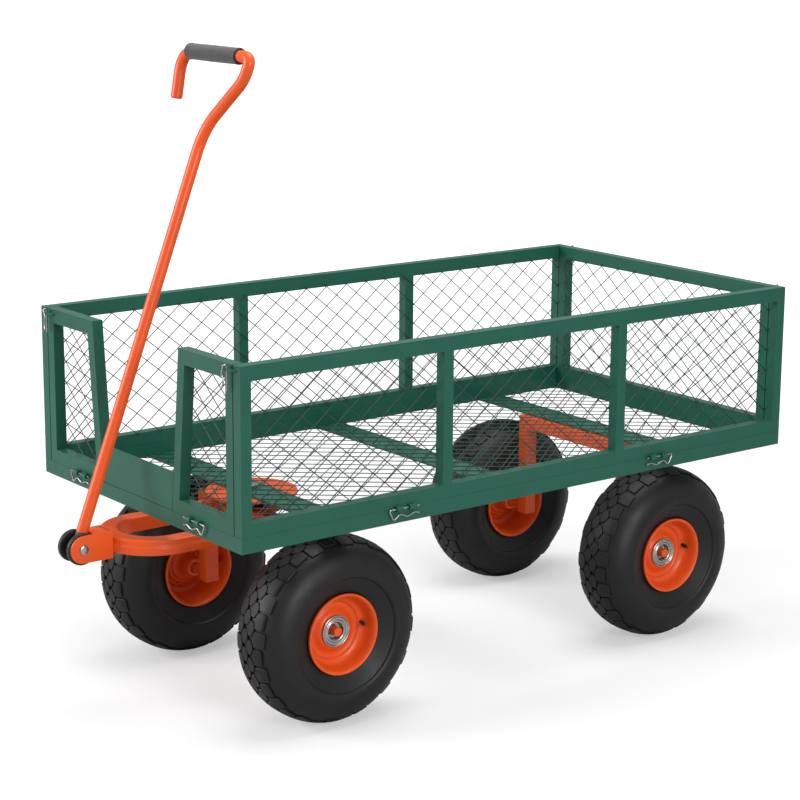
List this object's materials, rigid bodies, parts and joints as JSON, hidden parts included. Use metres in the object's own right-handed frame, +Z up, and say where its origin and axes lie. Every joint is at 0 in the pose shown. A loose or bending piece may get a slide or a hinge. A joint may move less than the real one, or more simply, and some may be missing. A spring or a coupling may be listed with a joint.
{
  "type": "garden cart",
  "caption": "Steel mesh garden cart with fold-down side panels held by hairpin clips, a steered drawbar with a looped pull handle and pneumatic wheels.",
  "frame": {"origin": "point on the ground under the middle of the cart, at the centre of its bounding box", "axes": "+Z up, -Y towards the handle and drawbar, X across the cart"},
  "size_m": [0.649, 1.3616, 1.1126],
  "materials": {
    "green_paint": "satin green powder coat",
    "green_wire": "satin dark green powder coat on wire",
    "orange_paint": "satin orange powder coat",
    "tyre_rubber": "matt moulded rubber",
    "black_plastic": "matt black plastic",
    "foam_grip": "matt dark grey foam rubber",
    "zinc": "bright zinc plate"
  },
  "bodies": {
    "chassis": {"base_frame": "green_paint", "floor_bar_front": "green_paint", "floor_bar_middle": "green_paint", "floor_bar_rear": "green_paint", "floor_mesh": "green_wire", "rear_axle_frame": "orange_paint", "turntable_upper": "orange_paint", "thrust_bush": "black_plastic", "king_pin": "zinc"},
    "steering": {"drawbar": "orange_paint", "handle_fork": "orange_paint", "front_axle_frame": "orange_paint", "turntable_lower": "orange_paint", "pivot_bolt": "zinc", "pivot_nut": "zinc", "pivot_disc_left": "black_plastic", "pivot_disc_right": "black_plastic"},
    "handle": {"handle_tube": "orange_paint", "handle_grip": "foam_grip"},
    "front_left_wheel": {"front_left_tyre": "tyre_rubber", "front_left_rim": "orange_paint", "front_left_bearing": "zinc", "front_left_valve": "black_plastic"},
    "front_right_wheel": {"front_right_tyre": "tyre_rubber", "front_right_rim": "orange_paint", "front_right_bearing": "zinc", "front_right_valve": "black_plastic"},
    "rear_left_wheel": {"rear_left_tyre": "tyre_rubber", "rear_left_rim": "orange_paint", "rear_left_bearing": "zinc", "rear_left_valve": "black_plastic"},
    "rear_right_wheel": {"rear_right_tyre": "tyre_rubber", "rear_right_rim": "orange_paint", "rear_right_bearing": "zinc", "rear_right_valve": "black_plastic"},
    "front_panel": {"front_panel_left_frame": "green_paint", "front_panel_right_frame": "green_paint", "front_panel_plate": "green_paint", "front_panel_left_mesh": "green_wire", "front_panel_right_mesh": "green_wire"},
    "left_panel": {"left_panel_frame": "green_paint", "left_panel_mesh": "green_wire"},
    "right_panel": {"right_panel_frame": "green_paint", "right_panel_mesh": "green_wire"},
    "rear_panel": {"rear_panel_frame": "green_paint", "rear_panel_mesh": "green_wire"},
    "front_clip_left": {"front_clip_left": "zinc"},
    "front_clip_right": {"front_clip_right": "zinc"},
    "right_clip_front": {"right_clip_front": "zinc"},
    "right_clip_rear": {"right_clip_rear": "zinc"},
    "rear_clip_right": {"rear_clip_right": "zinc"},
    "rear_clip_left": {"rear_clip_left": "zinc"},
    "left_clip_rear": {"left_clip_rear": "zinc"},
    "left_clip_front": {"left_clip_front": "zinc"},
    "front_drop_pin_left": {"front_drop_pin_left": "zinc"},
    "front_drop_pin_right": {"front_drop_pin_right": "zinc"},
    "rear_drop_pin_left": {"rear_drop_pin_left": "zinc"},
    "rear_drop_pin_right": {"rear_drop_pin_right": "zinc"}
  },
  "joints": [
    {"name": "steering_swivel", "type": "hinge", "parent": "chassis", "child": "steering", "pos_m": [0, -0.31075, 0.33], "axis": [0, 0, 1], "range_deg": [-25, 25]},
    {"name": "handle_tilt", "type": "hinge", "parent": "steering", "child": "handle", "pos_m": [0, -0.65375, 0.307], "axis": [1, 0, 0], "range_deg": [0, 128]},
    {"name": "front_left_wheel_spin", "type": "hinge", "parent": "steering", "child": "front_left_wheel", "pos_m": [-0.223, -0.31075, 0.161], "axis": [1, 0, 0], "continuous": true},
    {"name": "front_right_wheel_spin", "type": "hinge", "parent": "steering", "child": "front_right_wheel", "pos_m": [0.223, -0.31075, 0.161], "axis": [1, 0, 0], "continuous": true},
    {"name": "rear_left_wheel_spin", "type": "hinge", "parent": "chassis", "child": "rear_left_wheel", "pos_m": [-0.223, 0.44225, 0.161], "axis": [1, 0, 0], "continuous": true},
    {"name": "rear_right_wheel_spin", "type": "hinge", "parent": "chassis", "child": "rear_right_wheel", "pos_m": [0.223, 0.44225, 0.161], "axis": [1, 0, 0], "continuous": true},
    {"name": "front_panel_fold", "type": "hinge", "parent": "chassis", "child": "front_panel", "pos_m": [0, -0.54375, 0.375], "axis": [1, 0, 0], "range_deg": [0, 100]},
    {"name": "rear_panel_fold", "type": "hinge", "parent": "chassis", "child": "rear_panel", "pos_m": [0, 0.67625, 0.375], "axis": [-1, 0, 0], "range_deg": [0, 170]},
    {"name": "right_panel_fold", "type": "hinge", "parent": "chassis", "child": "right_panel", "pos_m": [0.32, 0.06625, 0.375], "axis": [0, 1, 0], "range_deg": [0, 170]},
    {"name": "left_panel_fold", "type": "hinge", "parent": "chassis", "child": "left_panel", "pos_m": [-0.32, 0.06625, 0.375], "axis": [0, -1, 0], "range_deg": [0, 170]},
    {"name": "front_clip_left_pull", "type": "slide", "parent": "chassis", "child": "front_clip_left", "axis": [-1, 0, 0], "range_m": [0, 0.06]},
    {"name": "front_clip_right_pull", "type": "slide", "parent": "chassis", "child": "front_clip_right", "axis": [1, 0, 0], "range_m": [0, 0.06]},
    {"name": "right_clip_front_pull", "type": "slide", "parent": "chassis", "child": "right_clip_front", "axis": [0, -1, 0], "range_m": [0, 0.06]},
    {"name": "right_clip_rear_pull", "type": "slide", "parent": "chassis", "child": "right_clip_rear", "axis": [0, 1, 0], "range_m": [0, 0.06]},
    {"name": "rear_clip_right_pull", "type": "slide", "parent": "chassis", "child": "rear_clip_right", "axis": [1, 0, 0], "range_m": [0, 0.06]},
    {"name": "rear_clip_left_pull", "type": "slide", "parent": "chassis", "child": "rear_clip_left", "axis": [-1, 0, 0], "range_m": [0, 0.06]},
    {"name": "left_clip_rear_pull", "type": "slide", "parent": "chassis", "child": "left_clip_rear", "axis": [0, 1, 0], "range_m": [0, 0.06]},
    {"name": "left_clip_front_pull", "type": "slide", "parent": "chassis", "child": "left_clip_front", "axis": [0, -1, 0], "range_m": [0, 0.06]},
    {"name": "front_drop_pin_left_lift", "type": "slide", "parent": "front_panel", "child": "front_drop_pin_left", "axis": [0, 0, 1], "range_m": [0, 0.036]},
    {"name": "front_drop_pin_right_lift", "type": "slide", "parent": "front_panel", "child": "front_drop_pin_right", "axis": [0, 0, 1], "range_m": [0, 0.036]},
    {"name": "rear_drop_pin_left_lift", "type": "slide", "parent": "rear_panel", "child": "rear_drop_pin_left", "axis": [0, 0, 1], "range_m": [0, 0.036]},
    {"name": "rear_drop_pin_right_lift", "type": "slide", "parent": "rear_panel", "child": "rear_drop_pin_right", "axis": [0, 0, 1], "range_m": [0, 0.036]}
  ]
}
